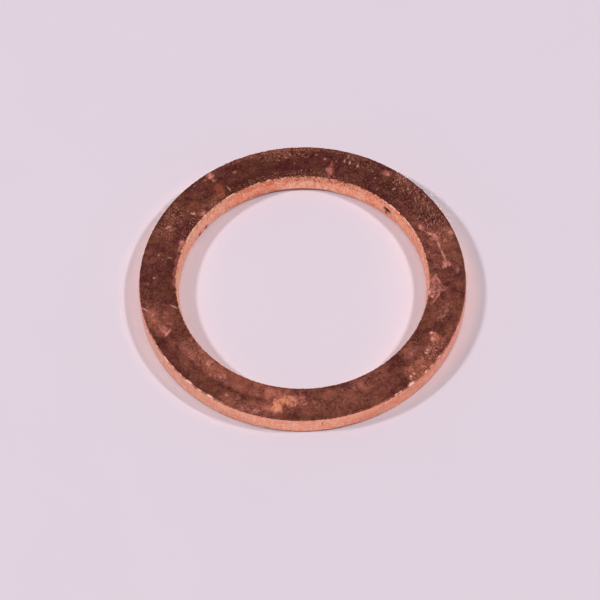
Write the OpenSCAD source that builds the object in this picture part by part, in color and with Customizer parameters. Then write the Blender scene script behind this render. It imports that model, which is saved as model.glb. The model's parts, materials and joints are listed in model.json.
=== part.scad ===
// Solid copper sealing washer, blanked from sheet as one flat ring.
// The origin is the middle of the lower face, where the ring lies on its seat, and +Z is the bore's axis.

/* [Ring] */
// Outer diameter of the ring
outer_d = 24.0; // [22:0.1:40]
// Diameter of the bore, over its sheared land
bore_d = 18.5; // [8:0.1:20]
// Thickness of the sheet
thickness = 1.55; // [1:0.05:3]

/* [Blanked edges] */
// Radius rolled over by the die, on the edges of the lower face
roll_r = 0.09; // [0.05:0.01:0.25]
// Radius worn by tumbling, on the edges of the upper face
tumble_r = 0.07; // [0.03:0.01:0.15]
// Height of the torn zone of each wall, down from the upper face
tear_h = 0.6; // [0.3:0.05:0.7]
// How far the torn zone falls back from the sheared land, at the upper face
tear_back = 0.02; // [0.01:0.01:0.1]

/* [Hidden] */
copper = [0.72, 0.4, 0.29];
circle_sides = 96;
// How far a cutter reaches past the face that it cuts
cut_past = 0.2;

ring_w = (outer_d - bore_d) / 2;
tear_z = thickness - tear_h;
// The torn zone leans by this angle from the bore's axis
tear_lean = atan(tear_back / tear_h);
// Middle of the tumbled edge's arc, tangent to the torn wall and to the upper face
tumble_z = thickness - tumble_r;
tumble_x = tumble_r / cos(tear_lean) + (tumble_z - tear_z) * tan(tear_lean);

// What blanking takes off a square wall at x = 0, with the sheet on the +X side
module blanked_off() {
    rolled_off();
    torn_off();
    tumbled_off();
}

// Outside the quarter arc that the die rolls on the lower edge
module rolled_off() {
    difference() {
        translate([-cut_past, -cut_past]) square(roll_r + cut_past);
        translate([roll_r, roll_r]) circle(roll_r, $fn = circle_sides);
    }
}

// In front of the leaning wall of the torn zone
module torn_off() {
    polygon([
        [0, tear_z],
        [(thickness + cut_past - tear_z) * tan(tear_lean), thickness + cut_past],
        [-cut_past, thickness + cut_past],
        [-cut_past, tear_z],
    ]);
}

// Outside the arc from the torn wall to the upper face
module tumbled_off() {
    wall_touch = [tumble_x - tumble_r * cos(tear_lean), tumble_z + tumble_r * sin(tear_lean)];
    difference() {
        polygon([
            wall_touch,
            [tumble_x, tumble_z],
            [tumble_x, thickness + cut_past],
            [-cut_past, thickness + cut_past],
            [-cut_past, wall_touch[1]],
        ]);
        translate([tumble_x, tumble_z]) circle(tumble_r, $fn = circle_sides);
    }
}

// The ring's section, from the bore's wall to the outer wall
module section() {
    difference() {
        square([ring_w, thickness]);
        blanked_off();
        translate([ring_w, 0]) mirror([1, 0]) blanked_off();
    }
}

// The whole ring
module washer() {
    color(copper)
        rotate_extrude($fn = circle_sides)
            translate([bore_d / 2, 0]) section();
}

washer();
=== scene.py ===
"""Looks of a copper crush washer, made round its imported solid.

Sizes are in millimetres and are scaled to metres when a mesh is done. They stand in the solid's own frame:
the origin is the middle of the lower face and +Z is the bore's axis. A clock angle is in degrees,
anticlockwise from +X as seen from above, so the viewer stands at 270.
"""

import json
import logging
import math
from dataclasses import dataclass
from enum import Enum
from typing import ClassVar

import bmesh
import bpy
import numpy as np
from mathutils import Matrix, Vector, noise

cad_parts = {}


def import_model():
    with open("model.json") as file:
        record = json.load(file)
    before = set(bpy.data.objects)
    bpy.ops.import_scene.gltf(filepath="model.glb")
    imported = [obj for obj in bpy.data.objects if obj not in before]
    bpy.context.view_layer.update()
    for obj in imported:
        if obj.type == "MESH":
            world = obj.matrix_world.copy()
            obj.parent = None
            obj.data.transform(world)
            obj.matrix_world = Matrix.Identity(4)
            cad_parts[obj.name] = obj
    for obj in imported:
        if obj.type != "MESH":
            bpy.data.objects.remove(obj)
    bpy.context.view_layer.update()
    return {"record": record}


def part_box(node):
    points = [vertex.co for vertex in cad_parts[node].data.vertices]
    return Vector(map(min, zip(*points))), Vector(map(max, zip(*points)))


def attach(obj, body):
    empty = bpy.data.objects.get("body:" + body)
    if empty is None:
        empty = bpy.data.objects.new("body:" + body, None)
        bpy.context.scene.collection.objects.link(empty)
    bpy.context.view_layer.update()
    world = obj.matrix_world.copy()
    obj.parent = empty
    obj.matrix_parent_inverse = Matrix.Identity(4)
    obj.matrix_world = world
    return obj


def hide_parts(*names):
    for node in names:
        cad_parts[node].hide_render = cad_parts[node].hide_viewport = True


LOG = logging.getLogger("washer")
MM = 0.001
NODE = "washer"
BODY = "root"
WHITE = (1.0, 1.0, 1.0, 1.0)
MOTTLE_MIDDLE = 0.5
# The first input, the second input and the output that a Mix node has for each kind of data
MIX_SOCKETS = {"FLOAT": (2, 3, 0), "RGBA": (6, 7, 2)}

Colour = tuple[float, float, float]
Scale = tuple[float, float, float]
Span = tuple[float, float]
Socket = bpy.types.NodeSocket


class Layer(Enum):
    """What is painted on the ring's points, each as an attribute of the mesh."""

    FILM = "film"
    TORN = "torn"
    GRAIN = "grain"
    # Painted sheen and shade on the walls, by clock and by height.
    SHEEN = "sheen"
    TONE = "tone"
    RUBBED = "rubbed"
    GILT = "gilt"
    RUST = "rust"
    WORN = "worn"
    FLECK = "fleck"
    # Painted highlights on edges, and on scratch marks that are partly real bare metal.
    GLINT = "glint"
    SMUDGE = "smudge"


class Wall(Enum):
    """The ring's two walls, each with the sign of its outward direction along the radius."""

    BORE = -1.0
    OUTER = 1.0


def eased(share: np.ndarray) -> np.ndarray:
    """A share from 0 to 1, eased at both ends."""
    held = np.clip(share, 0.0, 1.0)
    return held * held * (3.0 - 2.0 * held)


class Places:
    """The places of a mesh's points, along each axis and as a radius and a clock angle."""

    def __init__(self, points: np.ndarray) -> None:
        """Takes the points, one row each."""
        self.points = points
        self.x, self.y, self.z = points.T
        self.radius = np.hypot(self.x, self.y)
        self.clock = np.degrees(np.arctan2(self.y, self.x))

    def on(self, wall: Wall) -> np.ndarray:
        """Whether each point lies on a wall's side of the ring's middle."""
        return (self.radius - self.radius.mean()) * wall.value > 0

    def past(self, clock: float) -> np.ndarray:
        """How far each point lies past a clock angle, in degrees from -180 to 180."""
        return (self.clock - clock + 180.0) % 360.0 - 180.0

    def between(self, start: float, end: float, steepness: float) -> np.ndarray:
        """How far each point lies within a stretch of the ring.

        Args:
            start: the clock angle where the stretch starts.
            end: the clock angle where it ends.
            steepness: how fast it rises from its ends.

        Returns:
            One in the stretch's middle, falling to zero at its ends.
        """
        away = self.past((start + end) / 2)
        return eased(steepness * (1.0 - 2.0 * np.abs(away) / (end - start)))


@dataclass(frozen=True)
class Bumps:
    """Smooth noise with bumps of one size. The seed sets it apart from other noise."""

    size: float
    seed: float

    def over(self, points: np.ndarray) -> np.ndarray:
        """The noise at each point, as a value around zero."""
        places = points / self.size + self.seed
        return np.array([noise.noise(Vector(place)) for place in places])


@dataclass(frozen=True)
class Band:
    """A mark along an arc of the upper face, between two clock angles, with soft ends and sides."""

    END_STEEPNESS: ClassVar[float] = 3.0
    SIDE_STEEPNESS: ClassVar[float] = 2.0
    layer: Layer
    start: float
    end: float
    radius: float
    width: float
    strength: float = 1.0

    def cover(self, at: Places) -> np.ndarray:
        """How strongly the band covers each point, falling to zero at its ends and sides."""
        ends = at.between(self.start, self.end, self.END_STEEPNESS)
        sides = eased(self.SIDE_STEEPNESS * (1.0 - 2.0 * np.abs(at.radius - self.radius) / self.width))
        return self.strength * ends * sides


@dataclass(frozen=True)
class Mark:
    """A mark on the upper face, as an ellipse with a soft edge.

    The clock angle and the radius give its middle. The turn is the angle from the radius there to its length.
    """

    EDGE_STEEPNESS: ClassVar[float] = 1.5
    layer: Layer
    clock: float
    radius: float
    length: float
    width: float
    strength: float = 1.0
    turn: float = 0.0

    def cover(self, at: Places) -> np.ndarray:
        """How strongly the mark covers each point, falling to zero at its edge."""
        middle = math.radians(self.clock)
        heading = math.radians(self.clock + self.turn)
        off_x = at.x - self.radius * math.cos(middle)
        off_y = at.y - self.radius * math.sin(middle)
        along = off_x * math.cos(heading) + off_y * math.sin(heading)
        aside = off_y * math.cos(heading) - off_x * math.sin(heading)
        reach = np.sqrt((2 * along / self.length) ** 2 + (2 * aside / self.width) ** 2)
        return self.strength * eased(self.EDGE_STEEPNESS * (1.0 - reach))


@dataclass(frozen=True)
class WallMark:
    """A dark mark on a wall, as an ellipse with a soft edge, and how deep it is sunk."""

    EDGE_STEEPNESS: ClassVar[float] = 1.7
    wall: Wall
    clock: float
    height: float
    length: float
    tall: float
    strength: float
    depth: float = 0.0

    def cover(self, at: Places) -> np.ndarray:
        """How far each point lies within the mark: one at its middle, falling to zero at its edge."""
        arc = np.radians(at.past(self.clock)) * at.radius
        reach = np.sqrt((2 * arc / self.length) ** 2 + (2 * (at.z - self.height) / self.tall) ** 2)
        return eased(self.EDGE_STEEPNESS * (1.0 - reach)) * at.on(self.wall)


@dataclass(frozen=True)
class Stretch:
    """A change along a stretch of a wall, between two clock angles, with ends of one steepness."""

    wall: Wall
    start: float
    end: float
    strength: float
    steepness: float = 3.0

    def cover(self, at: Places) -> np.ndarray:
        """The change at each point, falling to zero at the stretch's ends."""
        return self.strength * at.between(self.start, self.end, self.steepness) * at.on(self.wall)


def placed(kind: type, layer: Layer, *rows: tuple[float, ...]) -> tuple:
    """Marks of one kind and one layer.

    Args:
        kind: the marks' class, Band or Mark.
        layer: what they paint.
        rows: the rest of each mark's values, in the order of its fields.

    Returns:
        The marks.
    """
    return tuple(kind(layer, *row) for row in rows)


@dataclass(frozen=True)
class WearAndPaintedLight:
    """The marks that blanking, handling and tarnish left on the ring, with painted highlights on its edges
    and scratch marks, and painted sheen and shade on its walls.
    """

    tones: tuple[Band, ...] = placed(
        Band, Layer.TONE,
        (-18, 30, 10.6, 3.4, 0.165), (26, 48, 10.6, 3.4, 0.05), (112, 206, 10.6, 3.4, 0.06),
        (160, 204, 11.3, 1.6, 0.1), (186, 206, 10.9, 2, 0.15), (205, 260, 9.9, 1.7, 0.33),
        (204, 240, 11.2, 1.6, 0.1), (236, 264, 11.4, 1.5, 0.26), (253, 272, 10.5, 2.6, 0.23),
        (264, 312, 10.6, 3.4, 0.17), (309, 330, 11.3, 1.6, 0.225), (312, 350, 10.6, 3.4, 0.14),
        (314, 326, 10, 1.5, 0.13), (344, 364, 9.6, 1, 0.13), (-6, 34, 10.1, 2.4, 0.06),
        (190, 228, 10.3, 2.6, 0.1), (252, 271, 9.8, 1.4, 0.18), (292, 316, 9.9, 1.8, 0.06),
        # The band from 58 to 126 at radius 11.8 lightens the far outer edge: partly a worn edge, partly
        # painted reflection on its rounding.
        (42, 56, 11.6, 0.9, 0.08), (58, 126, 11.8, 0.5, 0.12), (88, 104, 11.4, 1, 0.06),
        (4, 40, 9.75, 1.2, 0.12), (186, 204, 11.5, 1.1, 0.08), (246, 264, 10.1, 2, 0.06),
        (264, 280, 11.5, 1, -0.07), (324, 338, 9.8, 1.2, -0.06), (324, 340, 11.5, 1, 0.05),
        (170, 190, 10.6, 1.4, -0.05), (292, 308, 9.7, 1.1, 0.07), (24, 56, 10.6, 1.4, -0.09),
        (82, 116, 10.3, 2.6, -0.035), (112, 130, 9.7, 1.2, -0.12), (174, 192, 11.4, 1.2, -0.12),
    )
    rubbed: tuple[Mark | Band, ...] = placed(
        Mark, Layer.RUBBED,
        (5.3, 10.5, 0.7, 0.75, 0.85), (6.2, 10.78, 0.75, 0.75, 0.85), (7, 10.5, 0.55, 0.6, 0.8),
        (19.5, 10.48, 1.5, 1, 0.85, 105), (20.2, 10.16, 0.4, 0.36, 0.8), (26.6, 9.9, 1.2, 0.6, 0.75, 95),
        (20, 11.7, 0.7, 1.1, 0.65), (47.6, 11.62, 0.4, 1, 0.5, -10), (50.4, 11.46, 0.3, 0.8, 0.5, -12),
        (55.1, 11.4, 0.9, 0.9, 0.85, 25), (56.3, 11.6, 0.4, 0.4, 0.6), (76.8, 10, 1.4, 0.8, 0.65),
        (77.1, 10.6, 1, 0.3, 0.6, -6), (78.3, 10.05, 0.7, 0.4, 0.7, 20),
        (75.6, 9.95, 0.6, 0.4, 0.55, -30), (74.7, 9.58, 0.3, 0.36, 0.75), (76.8, 9.52, 0.34, 0.3, 0.75),
        (80, 10.96, 0.45, 0.5, 0.55), (116.1, 10.95, 0.7, 0.5, 0.65, 60),
        (124.8, 11.66, 0.8, 1.1, 0.9, 10), (125, 11.2, 0.9, 0.36, 0.6, 8), (127.6, 11.55, 0.4, 0.36, 0.8),
        (132, 11.76, 0.34, 0.6, 0.6), (141.8, 10.1, 0.7, 0.36, 0.8, 40), (139.6, 9.55, 0.5, 1, 0.7),
        (152.6, 11, 0.9, 0.4, 0.7, 40), (158.2, 9.52, 0.7, 1.3, 0.85), (161, 9.5, 0.5, 0.9, 0.7),
        (179.2, 11.45, 0.8, 0.5, 0.5, 20), (193.8, 11.35, 0.9, 0.4, 0.6, 50), (200.6, 10.95, 1, 1.5, 0.7),
        (202.8, 10.75, 1.1, 0.6, 0.8, 35), (213.6, 10.5, 0.9, 0.9, 0.5), (217, 10.2, 0.7, 0.9, 0.4),
        (225.4, 9.7, 1.1, 1.1, 0.75), (222.4, 9.7, 0.7, 0.8, 0.5), (233.6, 10.05, 0.9, 0.9, 0.7),
        (236.6, 10.3, 0.5, 0.7, 0.5), (242.2, 10.12, 0.5, 0.8, 0.6), (254.7, 9.85, 0.9, 0.6, 0.6),
        (239.6, 11.22, 0.4, 0.6, 0.9), (243.6, 11.1, 0.4, 0.5, 0.5), (247.2, 11.62, 0.5, 0.9, 0.6),
        (251.8, 11.6, 0.75, 0.9, 0.75), (258.3, 10.8, 1.4, 0.6, 0.95, -9), (259.7, 11, 1.6, 0.6, 1.1, -5),
        (261.4, 10.4, 1.4, 0.5, 0.9), (263.1, 10.42, 1.2, 0.6, 0.95, -4), (264.6, 10.4, 1.1, 0.45, 0.8),
        (354.6, 10.3, 1.1, 0.8, 0.7), (269.8, 10.58, 0.45, 0.6, 0.7), (273.6, 10.55, 0.5, 0.8, 0.6),
        (278.2, 10.5, 0.45, 0.7, 0.45), (290.6, 10, 0.7, 0.5, 0.5, 20), (294, 9.9, 0.9, 0.8, 0.5),
        (306, 10.2, 0.9, 0.4, 0.4, 20), (319.8, 10.15, 0.7, 1.3, 0.65), (318.4, 11.5, 0.5, 0.5, 0.6),
        (327, 11, 0.4, 1, 0.5), (330.9, 10.9, 1.1, 1.1, 0.8), (332.3, 10.6, 1, 0.7, 0.8, 30),
    ) + placed(
        Band, Layer.RUBBED,
        (160, 184, 9.4, 0.34, 0.5), (256.6, 261.6, 10.85, 1.7, 0.85), (260, 267, 10.35, 1.4, 0.85),
        (264.6, 270, 10.35, 1.2, 0.65), (348, 364, 9.5, 0.8, 0.7), (351, 359.4, 9.85, 0.8, 0.65),
    )
    gilt: tuple[Band, ...] = placed(
        Band, Layer.GILT,
        (253, 273, 10.6, 2.8),
    )
    rust: tuple[Mark | Band, ...] = placed(
        Mark, Layer.RUST,
        (76.8, 10.1, 1.9, 0.8, 0.6), (125.4, 10.42, 0.9, 1.1, 0.95), (126.8, 9.95, 1.1, 1.5, 0.75),
        (130.6, 9.85, 0.8, 1.1, 0.5), (138.8, 10.4, 1.2, 1, 0.5, 20), (139.4, 9.7, 0.9, 1.1, 0.6),
        (331.4, 10.9, 1.4, 1.3, 1), (12, 11.25, 0.9, 1.4, 0.35), (319, 11.4, 0.9, 3.2, 0.6),
        (278.2, 10.05, 0.9, 0.8, 0.4), (293.4, 9.7, 0.7, 0.9, 0.5),
    ) + placed(
        Band, Layer.RUST,
        (163, 184, 9.42, 0.5, 0.35), (214, 250, 9.6, 0.9, 0.4),
    )
    worn: tuple[Band, ...] = placed(
        Band, Layer.WORN,
        (13, 40, 10.9, 2.8, 0.75), (34, 55, 11.4, 1.6, 0.8), (58, 76, 11.4, 1.3, 0.7),
        (338, 348, 10.7, 1, 0.7),
    )
    flecks: tuple[Band, ...] = placed(
        Band, Layer.FLECK,
        (-6, 88, 10.6, 3.4, 0.35), (13, 54, 10.9, 2.8, 0.6), (44, 54, 11.6, 0.8, 0.9),
        # The band from 58 to 128 at radius 11.82 speckles the same far outer edge: partly a worn edge, partly
        # painted reflection.
        (84, 108, 11.45, 1.3, 1), (58, 128, 11.82, 0.5, 0.8), (60, 128, 9.55, 0.9, 0.75),
        (64, 128, 10.6, 3, 0.15), (122, 160, 9.65, 0.9, 1), (140, 160, 11.1, 1.9, 1),
        (118, 206, 10.7, 3.4, 0.2), (178, 200, 11.5, 1, 0.5), (206, 236, 9.9, 1.6, 0.6),
        (236, 258, 11.5, 1.1, 0.7), (262, 302, 10.4, 2.6, 0.35), (286, 300, 9.8, 1.2, 0.6),
        (309, 335, 11.3, 1.6, 1), (312, 330, 9.9, 1.4, 0.5), (338, 349, 10.6, 1, 0.7),
        (347, 364, 9.7, 1.2, 1),
    )
    smudges: tuple[Mark | Band, ...] = placed(
        Mark, Layer.SMUDGE,
        (337.2, 10.8, 1, 1.3, 0.35), (315, 9.7, 0.7, 0.9, 0.25), (21, 9.78, 0.5, 0.6, 0.3),
        (11.6, 10.02, 0.5, 1.6, 0.2),
    ) + placed(
        Band, Layer.SMUDGE,
        (142, 157, 9.85, 0.7, 0.2), (160, 188, 9.8, 0.7, 0.22),
    )
    # Rubbed trails, then glint marks: the glint marks are partly real scratch marks and specks of bare metal,
    # partly painted highlights where these catch the lamps.
    scratches_and_glints: tuple[Mark, ...] = placed(
        Mark, Layer.RUBBED,
        (9.2, 10.62, 1.5, 0.3, 0.85, 93), (12.6, 10.54, 1.8, 0.3, 0.85, 95),
        (16, 10.5, 1.5, 0.38, 0.8, 90), (22.2, 10.22, 1.6, 0.38, 0.9, 128),
        (3.2, 11.4, 1.1, 0.16, 0.6, 64), (349.6, 9.9, 2.4, 0.24, 0.85, 66),
        (358.8, 9.95, 2.2, 0.24, 0.8, 122),
    ) + placed(
        Mark, Layer.GLINT,
        (48.8, 10.56, 0.4, 0.15, 0.8, -25), (54.3, 9.86, 0.55, 0.12, 0.5), (58, 10.6, 0.2, 0.16, 0.5),
        (60.3, 11.05, 0.22, 0.16, 0.5, 20), (66.7, 11, 0.4, 0.16, 0.85, 5),
        (70.1, 11.07, 0.46, 0.16, 0.85, 10), (72.3, 11.1, 0.5, 0.14, 0.75, 12),
        (71.5, 11.58, 0.5, 0.14, 0.55, 12), (79.9, 11, 0.24, 0.2, 0.4), (75.4, 10.95, 0.2, 0.24, 0.35),
        (83.4, 11.3, 0.2, 0.34, 0.4), (89.2, 9.85, 0.22, 0.2, 0.4), (92, 10.5, 0.18, 0.18, 0.35),
        (95, 11.1, 0.24, 0.24, 0.5), (98, 10.9, 0.2, 0.2, 0.45), (122.2, 9.9, 0.8, 0.14, 0.7),
        (142, 10.05, 0.5, 0.16, 0.5, 40), (147, 11.25, 0.22, 0.2, 0.4), (152.4, 11, 0.3, 0.16, 0.5, 40),
        (153.6, 10.75, 0.3, 0.14, 0.5, 40), (166, 10.86, 0.18, 0.18, 0.75), (166.4, 10, 0.7, 0.12, 0.4),
        (168, 10.48, 0.16, 0.18, 0.45), (176.8, 10.9, 0.3, 0.26, 0.5),
        (190.4, 11.74, 0.8, 0.17, 0.65, 135), (193.6, 11.32, 0.7, 0.14, 0.45, 50),
        (191.6, 9.64, 0.9, 0.16, 0.65, 137), (203.4, 10.9, 0.7, 0.14, 0.45, 38),
        (258.8, 11.15, 1.3, 0.2, 0.35, -6), (312, 11.43, 0.32, 0.28, 0.95),
        (313.7, 11.42, 0.28, 0.22, 0.8), (311.2, 11.6, 0.22, 0.2, 0.5), (317.8, 11.45, 0.3, 0.16, 0.45),
        (323.6, 10.98, 0.3, 0.22, 0.85), (325, 10.92, 0.24, 0.24, 0.85), (330.2, 10.74, 0.2, 0.26, 0.55),
        (332.7, 10.45, 0.34, 0.26, 1, 35), (341.8, 10.75, 0.55, 0.14, 0.45, 55),
        (344.4, 10.88, 0.45, 0.12, 0.4, 40), (350, 9.58, 0.24, 0.26, 0.7), (352.3, 9.36, 0.24, 0.26, 1),
        (2.5, 11.45, 0.75, 0.13, 0.35, 64),
    )
    # Painted highlights: pale marks along the outer and bore top edges, where the lamps reflect on the
    # rounded edges.
    edge_glints: tuple[Mark | Band, ...] = placed(
        Mark, Layer.GLINT,
        (206.4, 11.95, 0.5, 0.2, 0.6, 90), (212.8, 11.95, 1, 0.24, 0.75, 90),
        (216.7, 11.95, 0.4, 0.2, 0.6, 90), (220.6, 11.95, 0.5, 0.2, 0.5, 90),
        (225.2, 11.94, 0.9, 0.32, 1, 90), (230.2, 11.95, 0.6, 0.24, 0.7, 90),
        (234.6, 11.95, 0.9, 0.32, 1, 90), (303.2, 11.95, 0.34, 0.24, 0.8, 90),
        (305, 11.95, 0.34, 0.24, 0.8, 90), (310, 11.94, 0.75, 0.4, 1.2, 90),
        (317.2, 11.95, 0.4, 0.24, 0.8, 90), (320.2, 11.95, 0.3, 0.2, 0.5, 90),
        (325, 11.95, 0.4, 0.2, 0.4, 90), (104.6, 9.31, 0.2, 0.4, 0.8), (109.3, 9.31, 0.2, 0.3, 0.8),
        (139.5, 9.31, 0.2, 0.36, 0.7),
    ) + placed(
        Band, Layer.GLINT,
        (196, 246, 11.96, 0.16, 0.2), (25, 36.5, 9.3, 0.12, 0.4), (41, 45, 9.3, 0.14, 0.7),
        (121, 127, 9.3, 0.12, 0.6), (146, 156, 9.3, 0.12, 0.5),
    )
    # Painted sheen and shade: stretches of the walls, each painted lighter or darker, standing in for how the
    # lamps and the floor's reflection light them.
    wall_sheen_and_shade: tuple[Stretch, ...] = (
        Stretch(Wall.BORE, 46.0, 84.0, -0.12),
        Stretch(Wall.BORE, 56.0, 102.0, 0.1),
        Stretch(Wall.BORE, 97.0, 127.0, -0.3),
        Stretch(Wall.BORE, 120.0, 196.0, 0.2),
        Stretch(Wall.OUTER, 195.0, 248.0, 0.1),
        Stretch(Wall.OUTER, 264.0, 350.0, -0.1),
    )
    wall_marks: tuple[WallMark, ...] = (
        WallMark(Wall.BORE, 45.4, 0.84, 1.1, 0.36, 1.0, 0.06),
        WallMark(Wall.BORE, 46.7, 0.9, 0.5, 0.4, 1.0, 0.03),
        WallMark(Wall.BORE, 44.2, 0.78, 0.5, 0.36, 0.7),
        WallMark(Wall.BORE, 45.8, 0.58, 0.36, 0.7, 0.6),
        WallMark(Wall.BORE, 106.0, 0.42, 3.6, 1.0, 0.18),
        WallMark(Wall.BORE, 140.6, 0.36, 0.4, 0.4, 1.0, 0.02),
        WallMark(Wall.BORE, 145.5, 0.36, 0.36, 0.38, 1.0, 0.02),
        WallMark(Wall.OUTER, 275.5, 0.95, 0.14, 0.8, 0.5, 0.01),
    )
    ragged: tuple[Stretch, ...] = (
        Stretch(Wall.OUTER, 186.0, 252.0, 0.05, 4.0),
        Stretch(Wall.OUTER, 296.0, 332.0, 0.05, 4.0),
        Stretch(Wall.OUTER, 80.0, 126.0, 0.03, 4.0),
    )
    patch_wander: float = 0.12
    patch_bumps: tuple[Bumps, Bumps] = (Bumps(0.4, 11.0), Bumps(0.4, 29.0))
    wisp_wander: float = 0.09
    wisp_bumps: tuple[Bumps, Bumps] = (Bumps(0.13, 13.0), Bumps(0.13, 31.0))
    edge_wander: float = 0.014
    edge_bumps: Bumps = Bumps(0.3, 3.0)
    edge_teeth: Bumps = Bumps(0.13, 7.0)
    teeth_share: float = 0.7
    torn_grain: float = 0.022
    torn_bumps: Bumps = Bumps(0.12, 17.0)
    land_grain: float = 0.005
    land_bumps: Bumps = Bumps(0.09, 23.0)
    land_squeeze: Scale = (1.0, 1.0, 0.12)
    nub_clock: float = 40.8
    nub_height: float = 0.06
    nub_length: float = 0.35
    near_edge: float = 0.3
    glint_drop: float = 0.3
    torn: Stretch = Stretch(Wall.BORE, 61.0, 99.0, 0.8, 2.5)
    torn_least: float = 0.2
    rolled: Stretch = Stretch(Wall.BORE, 70.0, 110.0, 0.075, 2.0)
    rolled_height: float = 0.45
    # Painted sheen: how much lighter the bore's wall is painted towards its foot, and up to what height.
    low_sheen: float = 0.05
    low_height: float = 0.9

    def paint(self, at: Places, thickness: float) -> dict[Layer, np.ndarray]:
        """Works out how strongly each layer covers the ring's points.

        Args:
            at: the points' places.
            thickness: the ring's thickness.

        Returns:
            Each layer's value at each point.
        """
        layers = {layer: np.zeros(len(at.points)) for layer in Layer}
        upper = (at.z > thickness - self.near_edge).astype(float)
        shifted = at.points.copy()
        for axis, (patch, wisp) in enumerate(zip(self.patch_bumps, self.wisp_bumps)):
            shifted[:, axis] += self.patch_wander * patch.over(at.points)
            shifted[:, axis] += self.wisp_wander * wisp.over(at.points)
        wandered = Places(shifted)
        for tone in self.tones:
            layers[Layer.TONE] += upper * tone.cover(wandered)
        for patch in self.rubbed + self.gilt + self.rust + self.worn + self.flecks + self.smudges:
            layers[patch.layer] = np.maximum(layers[patch.layer], upper * patch.cover(wandered))
        # Scratch marks and glints fade out down from the top edge; the edge glints are painted highlights,
        # and the glint marks on the face partly so.
        on_edge = eased(1.0 - (thickness - at.z) / self.glint_drop)
        for line in self.scratches_and_glints + self.edge_glints:
            layers[line.layer] = np.maximum(layers[line.layer], on_edge * line.cover(at))
        for mark in self.wall_marks:
            stain = mark.strength * mark.cover(at) * (1.0 - upper)
            layers[Layer.SMUDGE] = np.maximum(layers[Layer.SMUDGE], stain)
        # Painted sheen: the bore's wall a little lighter towards its foot; then painted sheen and shade along
        # stretches of both walls.
        layers[Layer.SHEEN] += self.low_sheen * eased(1.0 - at.z / self.low_height) * at.on(Wall.BORE)
        for tone in self.wall_sheen_and_shade:
            layers[Layer.SHEEN] += tone.cover(at)
        return layers

    def torn_share(self, at: Places) -> np.ndarray:
        """How dark the torn zone is at each point, from 0 to 1: darkest on one stretch of the bore."""
        return self.torn_least * at.on(Wall.BORE) + self.torn.cover(at)

    def relief(self, at: Places, torn: np.ndarray, thickness: float) -> np.ndarray:
        """Works out how far each wall point stands proud of the true wall, along its outward radius.

        Args:
            at: the points' places.
            torn: how much each point belongs to a torn zone.
            thickness: the ring's thickness.

        Returns:
            How far each point is moved outwards from the metal.
        """
        at_top = eased(1.0 - (thickness - at.z) / self.near_edge)
        ragged = np.full(len(at.points), self.edge_wander)
        for stretch in self.ragged:
            ragged = np.maximum(ragged, stretch.cover(at))
        teeth = self.teeth_share * self.edge_teeth.over(at.points)
        moved = at_top * ragged * (self.edge_bumps.over(at.points) + teeth)
        moved += torn * self.torn_grain * self.torn_bumps.over(at.points)
        streaked = at.points * np.array(self.land_squeeze)
        moved += (1.0 - torn) * self.land_grain * self.land_bumps.over(streaked)
        nub = eased(1.0 - 2.0 * np.abs(np.radians(at.past(self.nub_clock)) * at.radius) / self.nub_length)
        moved += at.on(Wall.OUTER) * at_top * self.nub_height * nub
        for mark in self.wall_marks:
            moved -= mark.depth * mark.cover(at)
        moved -= self.rolled.cover(at) * eased(1.0 - at.z / self.rolled_height)
        return moved


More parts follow.
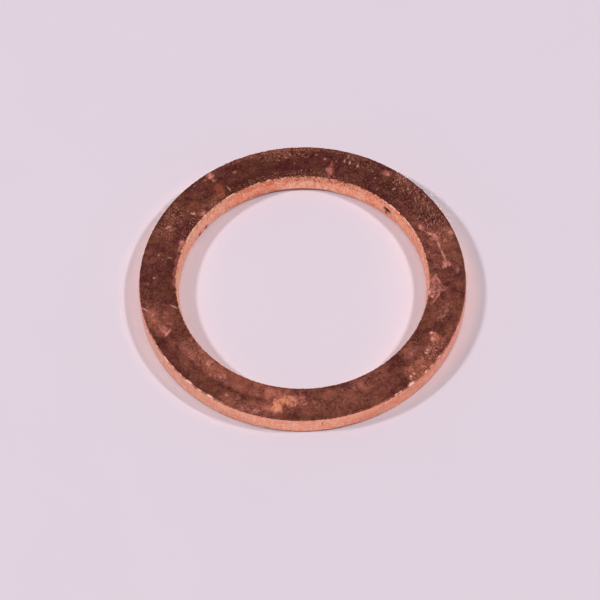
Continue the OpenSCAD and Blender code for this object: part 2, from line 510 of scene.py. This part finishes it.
class Shader:
    """Adds nodes to one node tree and joins them."""

    def __init__(self, tree: bpy.types.NodeTree) -> None:
        """Takes the tree that the nodes go into."""
        self.tree = tree

    def add(self, kind: str, inputs: dict | None = None, **settings: object) -> bpy.types.Node:
        """Adds a node.

        Args:
            kind: the node's type name.
            inputs: the value or socket that each input takes, by its name or number.
            settings: properties of the node to set.

        Returns:
            The new node.
        """
        node = self.tree.nodes.new(kind)
        for name, value in settings.items():
            setattr(node, name, value)
        for name, value in (inputs or {}).items():
            self.put(node.inputs[name], value)
        return node

    def put(self, socket: Socket, value: object) -> None:
        """Joins a socket to another one, or sets its own value.

        Args:
            socket: the input that is fed.
            value: an output socket, or a plain value.
        """
        if isinstance(value, bpy.types.NodeSocket):
            self.tree.links.new(value, socket)
        else:
            socket.default_value = value

    def maths(self, operation: str, first: object, second: object = 0.0, clamp: bool = False) -> Socket:
        """One sum of two values.

        Args:
            operation: the Math node's operation.
            first: the first value or socket.
            second: the second value or socket.
            clamp: whether the result is held between 0 and 1.

        Returns:
            The result's socket.
        """
        values = {0: first, 1: second}
        return self.add("ShaderNodeMath", values, operation=operation, use_clamp=clamp).outputs[0]

    def plus(self, first: object, second: object) -> Socket:
        """The sum of two values or sockets."""
        return self.maths("ADD", first, second)

    def minus(self, first: object, second: object) -> Socket:
        """The first value or socket less the second."""
        return self.maths("SUBTRACT", first, second)

    def times(self, first: object, second: object) -> Socket:
        """The product of two values or sockets."""
        return self.maths("MULTIPLY", first, second)

    def most(self, first: object, second: object) -> Socket:
        """The larger of two values or sockets."""
        return self.maths("MAXIMUM", first, second)

    def fade(self, value: object, step: Span = (0.0, 1.0), result: Span = (0.0, 1.0)) -> Socket:
        """A smooth step.

        Args:
            value: the value or socket that is mapped.
            step: where the step starts and where it ends.
            result: what it gives below the step and above it.

        Returns:
            The result's socket.
        """
        names = ("Value", "From Min", "From Max", "To Min", "To Max")
        values = dict(zip(names, (value, *step, *result)))
        return self.add("ShaderNodeMapRange", values, interpolation_type="SMOOTHSTEP").outputs["Result"]

    def _mix(self, kind: str, share: object, first: object, second: object) -> Socket:
        """A mix of two things of one kind.

        Args:
            kind: the Mix node's kind of data.
            share: how much of the second one shows.
            first: the first one or its socket.
            second: the second one or its socket.

        Returns:
            The mix's socket.
        """
        low, high, out = MIX_SOCKETS[kind]
        values = {"Factor": share, low: first, high: second}
        return self.add("ShaderNodeMix", values, data_type=kind).outputs[out]

    def blend(self, share: object, first: object, second: object) -> Socket:
        """A mix of two colours or their sockets, with a share of the second one."""
        colours = [(*colour, 1.0) if isinstance(colour, tuple) else colour for colour in (first, second)]
        return self._mix("RGBA", share, *colours)

    def level(self, share: object, first: object, second: object) -> Socket:
        """A mix of two values or their sockets, with a share of the second one."""
        return self._mix("FLOAT", share, first, second)

    def painted(self, layer: Layer) -> Socket:
        """The socket of a painted layer."""
        return self.add("ShaderNodeAttribute", attribute_name=layer.value).outputs["Fac"]

    def millimetres(self) -> Socket:
        """The place on the object, in millimetres."""
        values = {0: self.add("ShaderNodeTexCoord").outputs["Object"], "Scale": 1.0 / MM}
        return self.add("ShaderNodeVectorMath", values, operation="SCALE").outputs[0]

    def group(self, tree: bpy.types.NodeTree, **values: object) -> Socket:
        """Places a node group.

        Args:
            tree: the group.
            values: what its inputs take, by name.

        Returns:
            The group's first output.
        """
        return self.add("ShaderNodeGroup", values, node_tree=tree).outputs[0]


@dataclass(frozen=True)
class Grain:
    """The size of a mottle's blotches, its contrast, and the scale along each axis that draws it out."""

    size: float
    contrast: float
    squeeze: Scale = (1.0, 1.0, 1.0)


class Effects:
    """Node groups that the finishes share, each built once."""

    MOTTLE_NOISE: ClassVar[dict[str, float]] = {"Detail": 2.0, "Roughness": 0.55, "Distortion": 0.6}
    LINE_NOISE: ClassVar[dict[str, float]] = {"Scale": 1.0, "Detail": 1.0}
    LINE_EDGE: ClassVar[float] = 0.68
    LINE_GAIN: ClassVar[float] = 0.2
    LINE_STEP: ClassVar[Span] = (0.0, 0.12)

    def __init__(self) -> None:
        """Builds the groups."""
        self.mottle = self._mottle()
        self.hairlines = self._hairlines()

    @staticmethod
    def _start(
        name: str, inputs: tuple[tuple[str, str], ...]
    ) -> tuple[bpy.types.NodeTree, Shader, dict[str, Socket]]:
        """A new group with named inputs and one output named Value.

        Args:
            name: the group's name.
            inputs: the name and the kind of each input.

        Returns:
            The group, its shader helper and its inputs' sockets by name.
        """
        tree = bpy.data.node_groups.new(name, "ShaderNodeTree")
        for label, kind in inputs:
            tree.interface.new_socket(name=label, in_out="INPUT", socket_type="NodeSocket" + kind)
        tree.interface.new_socket(name="Value", in_out="OUTPUT", socket_type="NodeSocketFloat")
        shader = Shader(tree)
        sockets = shader.add("NodeGroupInput").outputs
        return tree, shader, {label: sockets[label] for label, _ in inputs}

    def _mottle(self) -> bpy.types.NodeTree:
        """Blotches of one size, as a value around the mottle's middle.

        Returns:
            The group, with inputs Place, Size and Contrast.
        """
        inputs = (("Place", "Vector"), ("Size", "Float"), ("Contrast", "Float"))
        tree, shader, given = self._start("mottle", inputs)
        values = {"Vector": given["Place"], "Scale": shader.maths("DIVIDE", 1.0, given["Size"])}
        texture = shader.add("ShaderNodeTexNoise", values | self.MOTTLE_NOISE).outputs["Fac"]
        swing = shader.times(shader.minus(texture, MOTTLE_MIDDLE), given["Contrast"])
        shader.add("NodeGroupOutput", {"Value": shader.plus(swing, MOTTLE_MIDDLE)})
        return tree

    def _hairlines(self) -> bpy.types.NodeTree:
        """Fine parallel scratches, as a mask.

        Returns:
            The group, with inputs Place, Turn, Spacing, Length and Share.
        """
        numbers = ("Turn", "Spacing", "Length", "Share")
        inputs = (("Place", "Vector"), *((number, "Float") for number in numbers))
        tree, shader, given = self._start("hairlines", inputs)
        values = {"Vector": given["Place"], "Angle": shader.times(given["Turn"], -math.radians(1.0))}
        turned = shader.add("ShaderNodeVectorRotate", values, rotation_type="Z_AXIS").outputs[0]
        apart = shader.add("ShaderNodeSeparateXYZ", {0: turned}).outputs
        sizes = {"X": given["Length"], "Y": given["Spacing"]}
        values = {axis: shader.maths("DIVIDE", apart[axis], size) for axis, size in sizes.items()}
        across = shader.add("ShaderNodeCombineXYZ", values).outputs[0]
        texture = shader.add("ShaderNodeTexNoise", {"Vector": across} | self.LINE_NOISE).outputs["Fac"]
        edge = shader.minus(self.LINE_EDGE, shader.times(given["Share"], self.LINE_GAIN))
        shader.add("NodeGroupOutput", {"Value": shader.fade(shader.minus(texture, edge), self.LINE_STEP)})
        return tree


class Material(Shader):
    """The nodes of a new material."""

    def __init__(self, name: str, effects: Effects) -> None:
        """Makes the material.

        Args:
            name: the material's name.
            effects: the shared node groups.
        """
        self.made = bpy.data.materials.new(name)
        self.made.use_nodes = True
        super().__init__(self.made.node_tree)
        self.effects = effects
        self.place = self.millimetres()

    def feed(self, name: str, value: object) -> None:
        """Feeds one named input of the surface with a value or a socket."""
        self.put(self.tree.nodes["Principled BSDF"].inputs[name], value)

    def mottled(self, grain: Grain) -> Socket:
        """A mottle of one grain, as a value around its middle."""
        values = {0: self.place, 1: grain.squeeze}
        place = self.add("ShaderNodeVectorMath", values, operation="MULTIPLY").outputs[0]
        return self.group(self.effects.mottle, Place=place, Size=grain.size, Contrast=grain.contrast)


@dataclass(frozen=True)
class CopperFinish:
    """Copper sheet with bright sheared walls, whose faces' brown film is partly tarnish and partly painted
    dark reflection.
    """

    effects: Effects
    # The film colours are partly tarnish and partly painted dark reflection: the faces are painted darker
    # than bare copper shows under this light.
    film_and_reflection_plum: Colour = (0.16, 0.034, 0.034)
    film_and_reflection_olive: Colour = (0.145, 0.04, 0.023)
    film_light: Colour = (0.74, 0.24, 0.165)
    film_tone: float = 0.11
    film_rough: float = 0.42
    rubbed_dark: Colour = (0.46, 0.135, 0.12)
    rubbed_light: Colour = (0.98, 0.405, 0.295)
    rubbed_gold: Colour = (0.98, 0.4, 0.22)
    rust: Colour = (0.52, 0.13, 0.07)
    worn: Colour = (0.86, 0.38, 0.28)
    fleck_gold: Colour = (0.88, 0.4, 0.28)
    fleck_pink: Colour = (0.84, 0.32, 0.28)
    # Painted highlight colour, for the glint layer on edges and scratch marks.
    glint: Colour = (1.0, 0.52, 0.39)
    smudge: Colour = (0.09, 0.017, 0.009)
    land_dark: Colour = (0.93, 0.31, 0.165)
    land_light: Colour = (1.0, 0.66, 0.46)
    torn_dark: Colour = (0.62, 0.14, 0.07)
    torn_light: Colour = (1.0, 0.56, 0.38)
    land_rough: float = 0.24
    bore_rough: float = 0.4
    scuffed_rough: float = 0.62
    # The metal share where glints are painted, lower so that the painted highlights look brighter.
    glint_metal: float = 0.5
    relief: float = 0.012
    relief_strength: float = 0.5
    relief_blotch: float = 0.35
    fine_grain: Grain = Grain(0.15, 3.0)
    middle_grain: Grain = Grain(0.45, 3.0)
    broad_grain: Grain = Grain(1.8, 2.5)
    edge_grain: Grain = Grain(0.18, 1.1)
    patch_grain: Grain = Grain(0.16, 3.0, (1.0, 0.4, 1.0))
    fleck_grain: Grain = Grain(0.11, 3.0)
    wall_grain: Grain = Grain(0.1, 4.4)
    drawn_grain: Grain = Grain(0.3, 2.5, (1.0, 1.0, 0.55))
    mottle_shares: tuple[float, float, float] = (0.24, 0.28, 0.24)
    tone_gain: float = 1.8
    fleck_gain: float = 0.4
    least_gain: float = 0.6
    patch_blotch: float = 0.35
    patch_breakup: float = 0.95
    line_turns: tuple[float, float] = (60.0, 98.0)
    line_spacing: float = 0.13
    line_length: float = 0.36
    line_gain: float = 1.2
    line_start: float = 0.4
    line_share: float = 0.5
    speck_share: float = 0.3
    fleck_share: float = 0.75
    sheen_level: float = 0.5
    film_step: Span = (0.35, 0.65)
    fringe_step: Span = (0.0, 0.3)
    olive_step: Span = (0.2, 0.8)
    rubbed_step: Span = (0.25, 1.4)
    worn_step: Span = (0.3, 0.8)
    fleck_step: Span = (0.66, 0.94)
    speck_step: Span = (0.05, 0.35)
    pink_step: Span = (0.3, 0.7)
    torn_step: Span = (0.0, 0.2)
    bore_step: Span = (0.6, 1.0)

    def material(self) -> bpy.types.Material:
        """Builds the material.

        Returns:
            The material.
        """
        shader = Material("tarnished_copper_and_painted_light", self.effects)
        fine = shader.mottled(self.fine_grain)
        middle = shader.mottled(self.middle_grain)
        film = self._film(shader)
        face, scuffs = self._face(shader, fine, middle)
        wall, wall_rough = self._wall(shader)
        colour = shader.blend(film, wall, face)
        colour = shader.blend(shader.painted(Layer.SMUDGE), colour, self.smudge)
        # Painted highlights: the glint layer turns the colour pale and lowers the metal share.
        glint = shader.painted(Layer.GLINT)
        shader.feed("Base Color", shader.blend(glint, colour, self.glint))
        face_rough = shader.level(scuffs, self.film_rough, self.scuffed_rough)
        shader.feed("Roughness", shader.level(film, wall_rough, face_rough))
        shader.feed("Metallic", shader.level(glint, 1.0, self.glint_metal))
        height = shader.level(self.relief_blotch, fine, middle)
        values = {"Height": height, "Strength": self.relief_strength, "Distance": self.relief * MM}
        shader.feed("Normal", shader.add("ShaderNodeBump", values).outputs[0])
        return shader.made

    def _film(self, shader: Material) -> Socket:
        """Where the brown film lies, with a ragged edge.

        Args:
            shader: the material's nodes.

        Returns:
            The film's mask.
        """
        ragged = shader.mottled(self.edge_grain)
        film = shader.painted(Layer.FILM)
        off_edge = shader.maths("ABSOLUTE", shader.minus(shader.times(film, 2.0), 1.0))
        at_edge = shader.minus(1.0, off_edge)
        shift = shader.times(shader.minus(ragged, MOTTLE_MIDDLE), at_edge)
        return shader.fade(shader.plus(film, shift), self.film_step)

    def _face(self, shader: Material, fine: Socket, middle: Socket) -> tuple[Socket, Socket]:
        """The faces' colour.

        Args:
            shader: the material's nodes.
            fine: the finest mottle.
            middle: the middle mottle.

        Returns:
            The colour, and the mask of what is scuffed.
        """
        broad = shader.mottled(self.broad_grain)
        painted = shader.painted(Layer.TONE)
        worn = shader.painted(Layer.WORN)
        flecked = shader.painted(Layer.FLECK)
        swing = 0.0
        for mottle, share in zip((fine, middle, broad), self.mottle_shares):
            swing = shader.plus(shader.times(shader.minus(mottle, MOTTLE_MIDDLE), share), swing)
        busy = shader.plus(shader.times(painted, self.tone_gain), shader.times(flecked, self.fleck_gain))
        swing = shader.times(swing, shader.plus(busy, self.least_gain))
        tone = shader.maths("ADD", shader.plus(painted, self.film_tone), swing, clamp=True)
        # The dark film colours: partly tarnish, partly painted dark reflection.
        dark = shader.blend(shader.fade(broad, self.olive_step), self.film_and_reflection_plum, self.film_and_reflection_olive)
        colour = shader.blend(tone, dark, self.film_light)
        streaks = shader.mottled(self.patch_grain)
        breakup = shader.minus(shader.level(self.patch_blotch, streaks, middle), MOTTLE_MIDDLE)
        thinned = shader.plus(shader.times(breakup, self.patch_breakup), 1.0)
        bared = shader.times(shader.painted(Layer.RUBBED), thinned)
        rubbed = shader.fade(bared)
        light = shader.blend(shader.painted(Layer.GILT), self.rubbed_light, self.rubbed_gold)
        bright = shader.blend(shader.fade(bared, self.rubbed_step), self.rubbed_dark, light)
        rust = shader.fade(shader.times(shader.painted(Layer.RUST), thinned))
        share = shader.minus(shader.times(worn, self.line_gain), self.line_start)
        spread = {"Place": shader.place, "Spacing": self.line_spacing, "Length": self.line_length}
        dashes = 0.0
        for turn in self.line_turns:
            lines = shader.group(shader.effects.hairlines, Turn=turn, Share=share, **spread)
            dashes = shader.most(lines, dashes)
        dashes = shader.times(dashes, shader.fade(worn, self.worn_step))
        grains = shader.mottled(self.fleck_grain)
        flecks = shader.times(shader.fade(grains, self.fleck_step), flecked)
        specks = shader.times(shader.fade(grains, self.speck_step, (1.0, 0.0)), flecked)
        fleck = shader.blend(shader.fade(middle, self.pink_step), self.fleck_gold, self.fleck_pink)
        colour = shader.blend(shader.times(specks, self.speck_share), colour, self.smudge)
        colour = shader.blend(rust, colour, self.rust)
        colour = shader.blend(rubbed, colour, bright)
        colour = shader.blend(shader.times(dashes, self.line_share), colour, self.worn)
        colour = shader.blend(shader.times(flecks, self.fleck_share), colour, fleck)
        return colour, shader.most(shader.most(rubbed, dashes), shader.most(flecks, tone))

    def _wall(self, shader: Material) -> tuple[Socket, Socket]:
        """The walls' colour and roughness.

        Args:
            shader: the material's nodes.

        Returns:
            The colour and the roughness.
        """
        fine = shader.mottled(self.wall_grain)
        streaks = shader.mottled(self.drawn_grain)
        swing = shader.minus(shader.plus(fine, streaks), 2 * MOTTLE_MIDDLE)
        coarse = shader.painted(Layer.GRAIN)
        # The sheen layer holds the painted sheen and shade of the walls, pushing the grain towards the light
        # or the dark colour.
        sheen = shader.plus(shader.painted(Layer.SHEEN), self.sheen_level)
        grain = shader.maths("ADD", shader.times(swing, coarse), sheen, clamp=True)
        torn = shader.painted(Layer.TORN)
        land = shader.blend(grain, self.land_dark, self.land_light)
        broken = shader.blend(grain, self.torn_dark, self.torn_light)
        bore_rough = shader.level(shader.fade(torn, self.torn_step), self.bore_rough, self.scuffed_rough)
        rough = shader.level(shader.fade(coarse, self.bore_step), self.land_rough, bore_rough)
        fringe = shader.fade(shader.painted(Layer.FILM), self.fringe_step)
        return shader.blend(torn, land, broken), shader.level(fringe, rough, self.scuffed_rough)


@dataclass(frozen=True)
class FloorFinish:
    """Pale sheet under the washer."""

    effects: Effects
    colour: Colour = (0.76, 0.658, 0.745)
    shade: Colour = (0.74, 0.64, 0.725)
    rough: float = 0.9
    cloud: Grain = Grain(9.0, 1.0)

    def material(self) -> bpy.types.Material:
        """Builds the material.

        Returns:
            The material.
        """
        shader = Material("pale_sheet", self.effects)
        shader.feed("Base Color", shader.blend(shader.mottled(self.cloud), self.shade, self.colour))
        shader.feed("Roughness", self.rough)
        shader.feed("Specular IOR Level", 0.0)
        return shader.made


def link(name: str, data: bpy.types.ID) -> bpy.types.Object:
    """Puts a new object in the scene.

    Args:
        name: the object's name.
        data: its mesh, light or camera.

    Returns:
        The object.
    """
    made = bpy.data.objects.new(name, data)
    bpy.context.scene.collection.objects.link(made)
    return made


@dataclass
class Washer:
    """The ring, with the section that blanking leaves, the marks of use, and painted highlights, sheen and
    shade.
    """

    outer_r: float
    bore_r: float
    thickness: float
    roll_r: float = 0.09
    tumble_r: float = 0.07
    tear_h: float = 0.6
    tear_back: float = 0.02
    bore_swell: float = 0.148
    bore_roll_r: float = 0.24
    bore_lean_h: float = 1.05
    bore_tear_h: float = 0.47
    doublings: int = 4
    steps: int = 72
    face_cuts: int = 40
    wall_cuts: int = 7
    under_cuts: int = 2
    edge_segments: int = 3
    roll_segments: int = 5
    film_over: float = 0.08
    # Painted contact shade: how far the dark film runs up from the lower edge at the back and front, partly
    # tarnish on the rolled edge and partly the shade at the wall's foot.
    film_and_shade_under: float = 0.08
    film_short: float = 0.045
    film_blur: float = 0.3
    tear_blur: float = 0.12
    bore_grain: float = 1.0
    outer_grain: float = 0.6
    tear_bumps: Bumps = Bumps(0.5, 41.0)
    merge_gap: float = 1e-4
    flat_within: float = 1e-6

    @classmethod
    def from_frame(cls, record: dict) -> "Washer":
        """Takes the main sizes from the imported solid.

        Args:
            record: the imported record.

        Returns:
            The washer.
        """
        low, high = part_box(NODE)
        bore = next(mount for mount in record["mounts"] if mount["name"] == "bore")
        return cls(
            outer_r=(high.x - low.x) / 2 / MM,
            bore_r=bore["dims"]["r_mm"],
            thickness=(high.z - low.z) / MM,
        )

    def build(self, finish: CopperFinish, wear_and_light: WearAndPaintedLight) -> bpy.types.Object:
        """Makes the ring, marks it and dresses it.

        Args:
            finish: the copper.
            wear_and_light: the marks of use, with the painted highlights, sheen and shade.

        Returns:
            The ring's object.
        """
        bm = bmesh.new()
        self._section(bm)
        self._turn(bm)
        mesh = bpy.data.meshes.new("washer_ring")
        bm.to_mesh(mesh)
        bm.free()
        self._mark(mesh, wear_and_light)
        mesh.transform(Matrix.Scale(MM, 4))
        mesh.materials.append(finish.material())
        ring = link("washer_ring", mesh)
        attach(ring, BODY)
        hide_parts(NODE)
        return ring

    def _turn(self, bm: bmesh.types.BMesh) -> None:
        """Turns the section into the ring: a part of a turn is spun, then doubled until the ring is whole.

        Args:
            bm: the mesh that holds the section.
        """
        part = math.tau / 2 ** self.doublings
        bmesh.ops.spin(
            bm, geom=bm.verts[:] + bm.edges[:], axis=(0, 0, 1), cent=(0, 0, 0), angle=part, steps=self.steps
        )
        for doubling in range(self.doublings):
            copied = bmesh.ops.duplicate(bm, geom=bm.verts[:] + bm.edges[:] + bm.faces[:])
            points = [item for item in copied["geom"] if isinstance(item, bmesh.types.BMVert)]
            turn = Matrix.Rotation(part * 2 ** doubling, 3, "Z")
            bmesh.ops.rotate(bm, verts=points, cent=(0, 0, 0), matrix=turn)
        bmesh.ops.remove_doubles(bm, verts=bm.verts, dist=self.merge_gap)
        bmesh.ops.recalc_face_normals(bm, faces=bm.faces)
        for face in bm.faces:
            face.smooth = True

    def _section(self, bm: bmesh.types.BMesh) -> None:
        """Draws the ring's section in the XZ plane, as a closed line with points where the marks need them.

        Args:
            bm: the mesh that takes the section.
        """
        land_r = self.bore_r - self.bore_swell
        outline = (
            (land_r, 0.0), (self.outer_r, 0.0), (self.outer_r, self.thickness - self.tear_h),
            (self.outer_r - self.tear_back, self.thickness), (self.bore_r + self.tear_back, self.thickness),
            (land_r, self.thickness - self.bore_lean_h),
        )
        corners = [bm.verts.new((x, 0.0, z)) for x, z in outline]
        bm.faces.new(corners)
        for radius, segments, rounded in (
            (self.bore_roll_r, self.roll_segments, corners[0:1]),
            (self.roll_r, self.edge_segments, corners[1:2]),
            (self.tumble_r, self.edge_segments, corners[3:5]),
        ):
            bmesh.ops.bevel(
                bm, geom=rounded, affect="VERTICES", offset=radius, offset_type="OFFSET",
                segments=segments, profile=0.5, material=-1,
            )
        bmesh.ops.delete(bm, geom=bm.faces[:], context="FACES_ONLY")
        middle_z = self.thickness / 2
        for edge in [e for e in bm.edges if e.calc_length() > 2 * self.roll_r]:
            flat = abs(edge.verts[0].co.z - edge.verts[1].co.z) < self.flat_within
            height = (edge.verts[0].co.z + edge.verts[1].co.z) / 2
            cuts = self.wall_cuts
            if flat:
                cuts = self.face_cuts if height > middle_z else self.under_cuts
            bmesh.ops.subdivide_edges(bm, edges=[edge], cuts=cuts - 1)

    def _mark(self, mesh: bpy.types.Mesh, wear_and_light: WearAndPaintedLight) -> None:
        """Paints the layers of the finish on the ring's points, and moves the points of its walls and edges.

        Args:
            mesh: the ring's mesh, in millimetres.
            wear_and_light: the marks of use, with the painted highlights, sheen and shade.
        """
        places = np.empty(len(mesh.vertices) * 3)
        mesh.vertices.foreach_get("co", places)
        at = Places(places.reshape(-1, 3))
        middle = (self.outer_r + self.bore_r) / 2
        inside = at.radius < middle
        layers = wear_and_light.paint(at, self.thickness)
        near_top = self.film_over - self.thickness + at.z
        past_edge = np.minimum(near_top, at.radius - self.bore_r - self.film_short)
        # Painted contact shade: the film runs up from the lower edge, most at the back and front of the ring;
        # partly tarnish on the rolled edge, partly shade at the wall's foot.
        past_edge = np.maximum(past_edge, self.film_and_shade_under * (at.y / at.radius) ** 2 - at.z)
        layers[Layer.FILM] = np.clip(0.5 + past_edge / self.film_blur, 0.0, 1.0)
        tear_h = np.where(inside, self.bore_tear_h, self.tear_h)
        tear_z = self.thickness - tear_h + self.tear_blur * self.tear_bumps.over(at.points)
        torn = eased(0.5 + (at.z - tear_z) / self.tear_blur)
        layers[Layer.TORN] = torn * wear_and_light.torn_share(at)
        layers[Layer.GRAIN] = np.where(inside, self.bore_grain, self.outer_grain)
        for layer, values in layers.items():
            attribute = mesh.attributes.new(layer.value, "FLOAT", "POINT")
            attribute.data.foreach_set("value", values.astype(np.float32))
        past_wall = np.abs(at.radius - middle) - (self.outer_r - middle) + 2 * wear_and_light.near_edge
        outward = np.sign(at.radius - middle) * eased(past_wall / wear_and_light.near_edge) * eased(at.z / self.roll_r)
        moved = wear_and_light.relief(at, torn, self.thickness) * outward / at.radius
        at.points[:, 0] += at.x * moved
        at.points[:, 1] += at.y * moved
        mesh.vertices.foreach_set("co", at.points.ravel())


@dataclass(frozen=True)
class Floor:
    """The sheet that the washer lies on."""

    half_width: float = 700.0
    gap: float = 0.002

    def build(self, finish: FloorFinish) -> bpy.types.Object:
        """Makes the floor.

        Args:
            finish: the sheet's finish.

        Returns:
            The floor's object.
        """
        bm = bmesh.new()
        bmesh.ops.create_grid(bm, x_segments=1, y_segments=1, size=self.half_width * MM)
        bmesh.ops.translate(bm, verts=bm.verts, vec=(0, 0, -self.gap * MM))
        mesh = bpy.data.meshes.new("floor")
        bm.to_mesh(mesh)
        bm.free()
        mesh.materials.append(finish.material())
        floor = link("floor", mesh)
        return floor


@dataclass(frozen=True)
class Softbox:
    """A round lamp that faces the washer. Its level is the share of plain light that it gives the floor."""

    name: str
    clock: float
    height: float
    spread: float
    level: float
    distance: float = 600.0

    def build(self) -> bpy.types.Object:
        """Makes the lamp.

        Returns:
            The lamp's object.
        """
        data = bpy.data.lights.new(self.name, "AREA")
        data.shape = "DISK"
        reach = self.distance * MM
        data.size = 2 * reach * math.tan(math.radians(self.spread / 2))
        data.energy = self.level * (math.pi * reach) ** 2 / math.sin(math.radians(self.height))
        clock, height = math.radians(self.clock), math.radians(self.height)
        away = Vector((
            math.cos(clock) * math.cos(height), math.sin(clock) * math.cos(height), math.sin(height),
        ))
        lamp = link(self.name, data)
        lamp.location = away * reach
        lamp.rotation_euler = away.to_track_quat("Z", "Y").to_euler()
        return lamp


@dataclass(frozen=True)
class Studio:
    """The light: two lamps and an even fill."""

    lamps: tuple[Softbox, ...] = (
        Softbox("left_softbox", clock=181.0, height=45.7, spread=7.0, level=0.35),
        Softbox("right_softbox", clock=0.0, height=52.7, spread=7.0, level=0.35),
    )
    fill: float = 0.3

    def build(self) -> None:
        """Makes the lamps and the world, and sets the plain view transform.

        Glossy blur is off, so that the walls' glow on the floor is kept.
        """
        for lamp in self.lamps:
            LOG.info("lamp %s", lamp.build().name)
        world = bpy.data.worlds.new("fill")
        world.use_nodes = True
        world.node_tree.nodes["Background"].inputs["Color"].default_value = WHITE
        world.node_tree.nodes["Background"].inputs["Strength"].default_value = self.fill
        bpy.context.scene.world = world
        bpy.context.scene.view_settings.view_transform = "Standard"
        bpy.context.scene.cycles.blur_glossy = 0.0


@dataclass(frozen=True)
class Viewpoint:
    """The camera, at the photograph's viewing angle."""

    elevation: float = 57.0
    roll: float = 1.54
    distance: float = 339.5
    lens: float = 276.8
    sensor: float = 36.0
    aim_right: float = -0.205
    aim_up: float = -0.55
    clip_near: float = 0.1
    clip_far: float = 100.0

    def build(self) -> bpy.types.Object:
        """Makes the camera and the scene's use of it.

        Returns:
            The camera's object.
        """
        data = bpy.data.cameras.new("camera")
        data.lens = self.lens
        data.sensor_width = self.sensor
        data.clip_start = self.clip_near * self.distance * MM
        data.clip_end = self.clip_far * self.distance * MM
        tilt, roll = math.radians(self.elevation), math.radians(self.roll)
        back = Vector((0.0, -math.cos(tilt), math.sin(tilt)))
        level_up = Vector((0.0, math.sin(tilt), math.cos(tilt)))
        level_right = Vector((1.0, 0.0, 0.0))
        right = level_right * math.cos(roll) - level_up * math.sin(roll)
        up = level_up * math.cos(roll) + level_right * math.sin(roll)
        place = right * self.aim_right + up * self.aim_up + back * self.distance
        camera = link("camera", data)
        turn = Matrix((right, up, back)).transposed().to_4x4()
        camera.matrix_world = Matrix.Translation(place * MM) @ turn
        bpy.context.scene.camera = camera
        return camera


def main() -> None:
    """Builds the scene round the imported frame."""
    logging.basicConfig(level=logging.INFO, format="%(name)s: %(message)s")
    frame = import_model()
    LOG.info("camera %s", Viewpoint().build().name)
    Studio().build()
    effects = Effects()
    LOG.info("stage %s", Floor().build(FloorFinish(effects)).name)
    ring = Washer.from_frame(frame["record"]).build(CopperFinish(effects), WearAndPaintedLight())
    LOG.info("piece %s, %d points", ring.name, len(ring.data.vertices))


if __name__ == "__main__":
    main()
